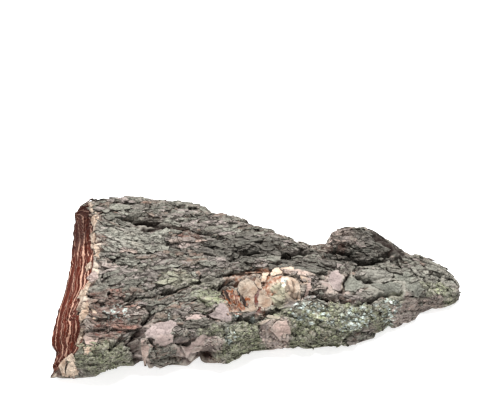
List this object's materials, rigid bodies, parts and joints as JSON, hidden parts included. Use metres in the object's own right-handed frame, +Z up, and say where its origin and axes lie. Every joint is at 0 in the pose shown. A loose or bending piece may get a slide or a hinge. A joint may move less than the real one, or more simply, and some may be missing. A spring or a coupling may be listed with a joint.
{
  "type": "tree bark slab",
  "caption": "Broken slab of old pine bark lying on its inner face: furrowed, scaly, lichened outer face, layered torn end, narrow tip.",
  "frame": {"origin": "middle of the bounding box in plan, on the surface that the slab lies on", "axes": "+X with the grain, from the torn end to the tip; +Z up through the outer face; +Y towards the back edge"},
  "size_m": [0.297, 0.1442, 0.0386],
  "materials": {
    "bark": "rough, scaly and matt, with grey-green lichen crusts"
  },
  "bodies": {
    "root": {"bark_slab": "bark"}
  },
  "joints": []
}
